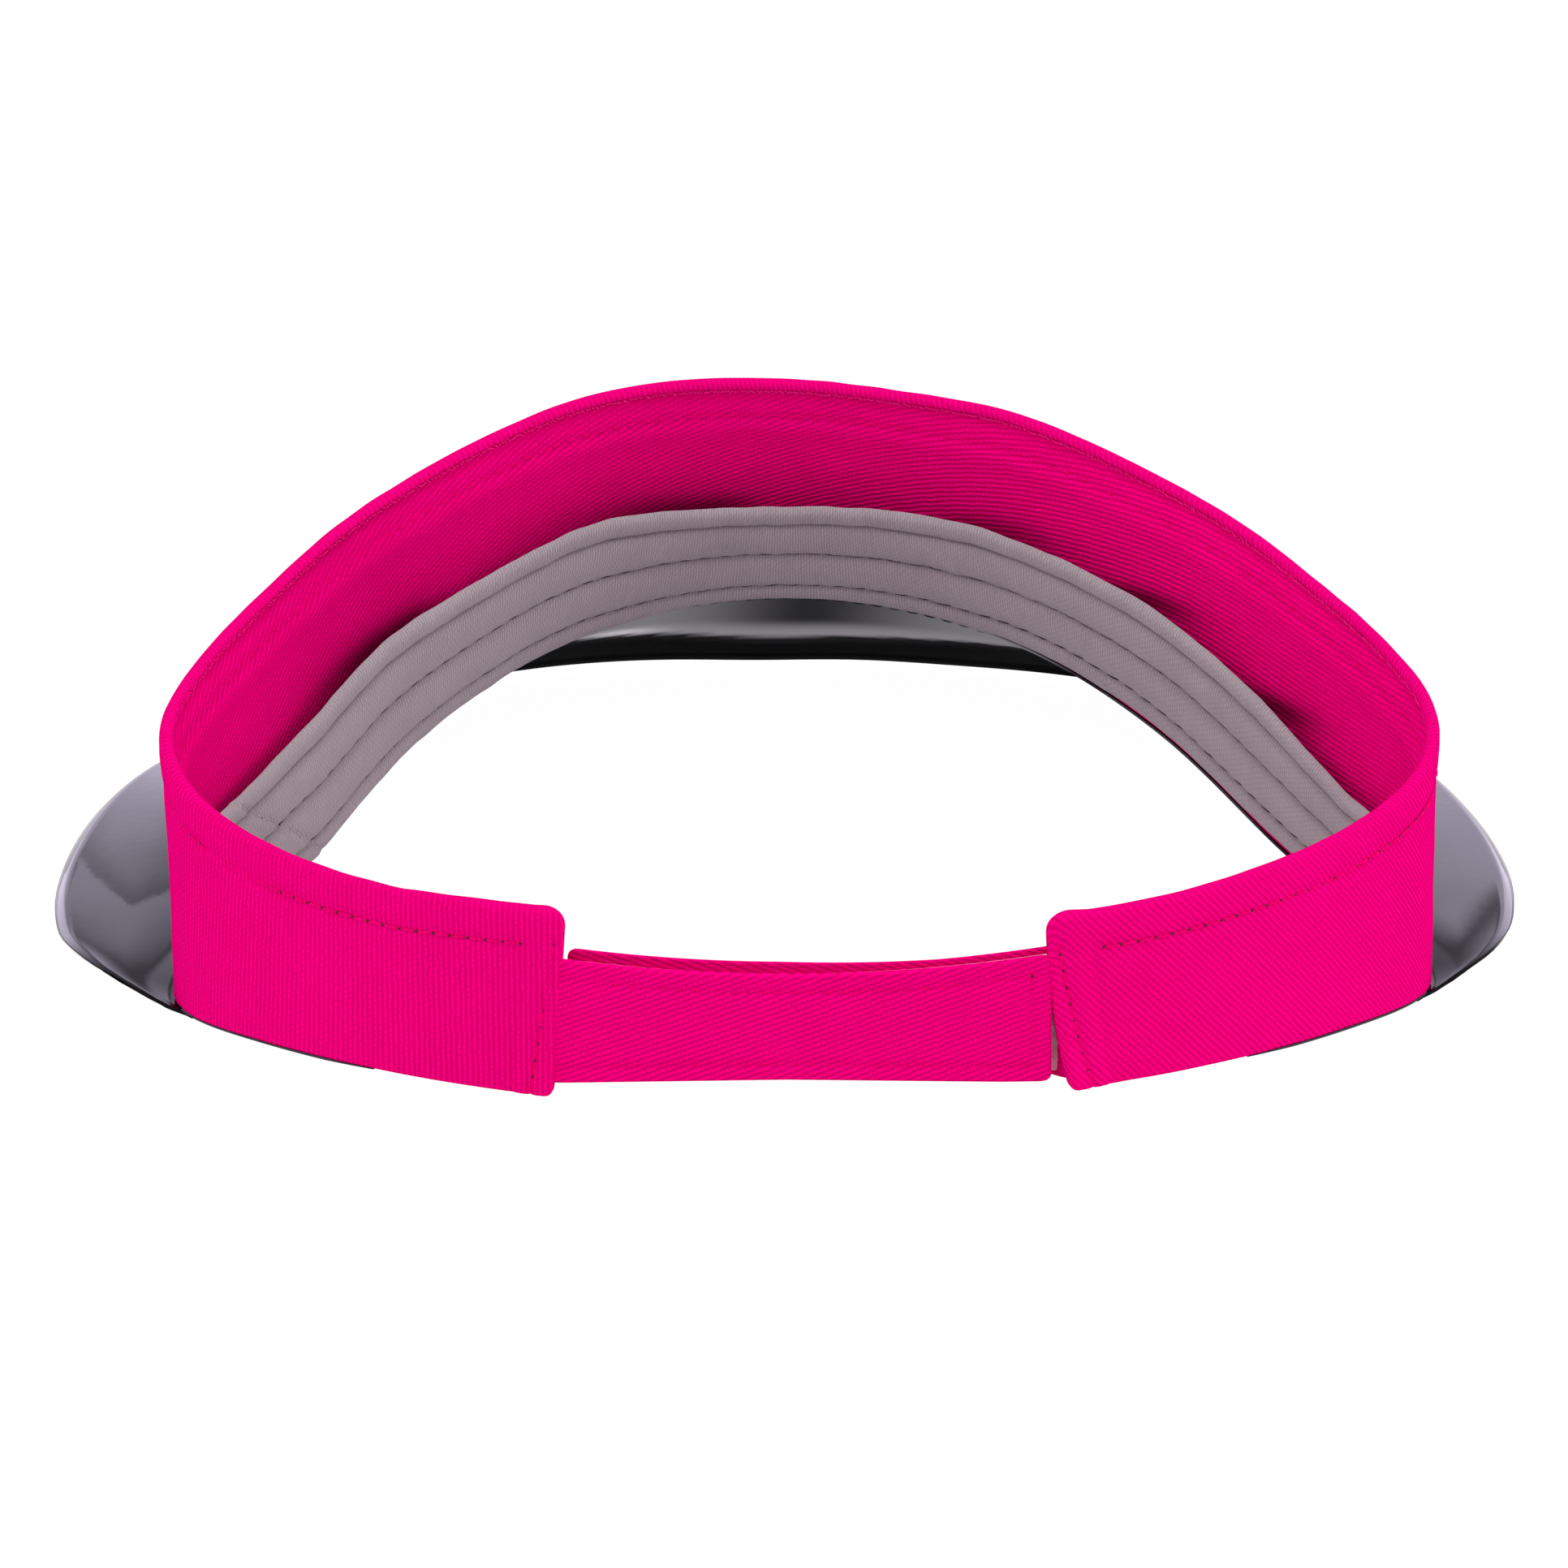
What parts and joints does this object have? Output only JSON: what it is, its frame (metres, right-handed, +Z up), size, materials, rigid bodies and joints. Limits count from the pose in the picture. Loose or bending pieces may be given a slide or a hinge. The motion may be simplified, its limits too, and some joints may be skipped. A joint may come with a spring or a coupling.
{
  "type": "sun visor",
  "caption": "Open-crown cotton sun visor with a padded sweatband, a curved gloss brim and an adjustable hook-and-loop strap at the back.",
  "frame": {"origin": "middle of the footprint, on the table the visor stands on", "axes": "+Z up, -Y towards the front of the brim, +X towards the wearer's left"},
  "size_m": [0.2422, 0.2006, 0.0732],
  "materials": {
    "pink_twill": "cotton twill with a diagonal rib, matt",
    "pink_lining": "cotton twill lining, matt",
    "pink_thread": "spun sewing thread, slight sheen",
    "sweatband_cloth": "fine mauve-grey sweatband cloth, soft and matt",
    "sweatband_thread": "darker grey sewing thread",
    "padding_foam": "open-cell padding, hidden",
    "stiff_buckram": "stiffened open weave, hidden",
    "gloss_black_sheet": "high-gloss black coated sheet",
    "black_seam_tape": "black seam tape and thread",
    "hook_tape_nylon": "pale pink nylon hook tape",
    "loop_tape_nylon": "pale pink brushed nylon loop tape"
  },
  "bodies": {
    "front": {"crown_outer_cloth": "pink_twill", "crown_buckram": "stiff_buckram", "crown_lining": "pink_lining", "crown_top_stitch": "pink_thread", "sweatband_cover": "sweatband_cloth", "sweatband_foam": "padding_foam", "sweatband_stitch_low": "sweatband_thread", "sweatband_stitch_mid": "sweatband_thread", "sweatband_stitch_high": "sweatband_thread", "brim": "gloss_black_sheet", "brim_seam_thread": "black_seam_tape"},
    "left_wing": {"left_panel_outer_cloth": "pink_twill", "left_panel_lining": "pink_lining", "left_panel_top_stitch": "pink_thread", "left_panel_end_stitch": "pink_thread", "left_sweatband_cover": "sweatband_cloth", "left_sweatband_foam": "padding_foam", "left_sweatband_stitch_low": "sweatband_thread", "left_sweatband_stitch_mid": "sweatband_thread", "left_sweatband_stitch_high": "sweatband_thread", "left_brim_seam_tail": "black_seam_tape", "hook_strap_sewn_end": "pink_twill"},
    "right_wing": {"right_panel_outer_cloth": "pink_twill", "right_panel_lining": "pink_lining", "right_panel_top_stitch": "pink_thread", "right_panel_end_stitch": "pink_thread", "right_sweatband_cover": "sweatband_cloth", "right_sweatband_foam": "padding_foam", "right_sweatband_stitch_low": "sweatband_thread", "right_sweatband_stitch_mid": "sweatband_thread", "right_sweatband_stitch_high": "sweatband_thread", "right_brim_seam_tail": "black_seam_tape", "loop_strap_sewn_end": "pink_twill"},
    "hook_strap_root": {"hook_strap_root": "pink_twill"},
    "hook_strap": {"hook_strap_cloth": "pink_twill", "hook_tape": "hook_tape_nylon", "hook_strap_stitch": "pink_thread"},
    "loop_strap": {"loop_strap_cloth": "pink_lining", "loop_tape": "loop_tape_nylon", "loop_strap_stitch": "pink_thread"}
  },
  "joints": [
    {"name": "left_wing_flex", "type": "hinge", "parent": "front", "child": "left_wing", "pos_m": [0.09564, 0.07547, 0.00002], "axis": [0, 0, -1], "range_deg": [0, 28]},
    {"name": "right_wing_flex", "type": "hinge", "parent": "front", "child": "right_wing", "pos_m": [-0.09564, 0.07547, 0.00002], "axis": [0, 0, 1], "range_deg": [0, 28]},
    {"name": "hook_strap_align", "type": "hinge", "parent": "left_wing", "child": "hook_strap_root", "pos_m": [0.03813, 0.0977, 0.00001], "axis": [0, 0, 1], "range_deg": [0, 26.5]},
    {"name": "loop_strap_align", "type": "hinge", "parent": "right_wing", "child": "loop_strap", "pos_m": [-0.03786, 0.09411, 0.00001], "axis": [0, 0, -1], "range_deg": [0, 26.5]},
    {"name": "hook_strap_peel", "type": "hinge", "parent": "hook_strap_root", "child": "hook_strap", "pos_m": [0.03322, 0.09845, 0.00001], "axis": [0, 0, -1], "range_deg": [0, 110]}
  ],
  "couplings": [
    {"joint": "right_wing_flex", "follows": "left_wing_flex", "ratio": 1},
    {"joint": "hook_strap_align", "follows": "left_wing_flex", "ratio": 0.935},
    {"joint": "loop_strap_align", "follows": "left_wing_flex", "ratio": 0.941}
  ]
}
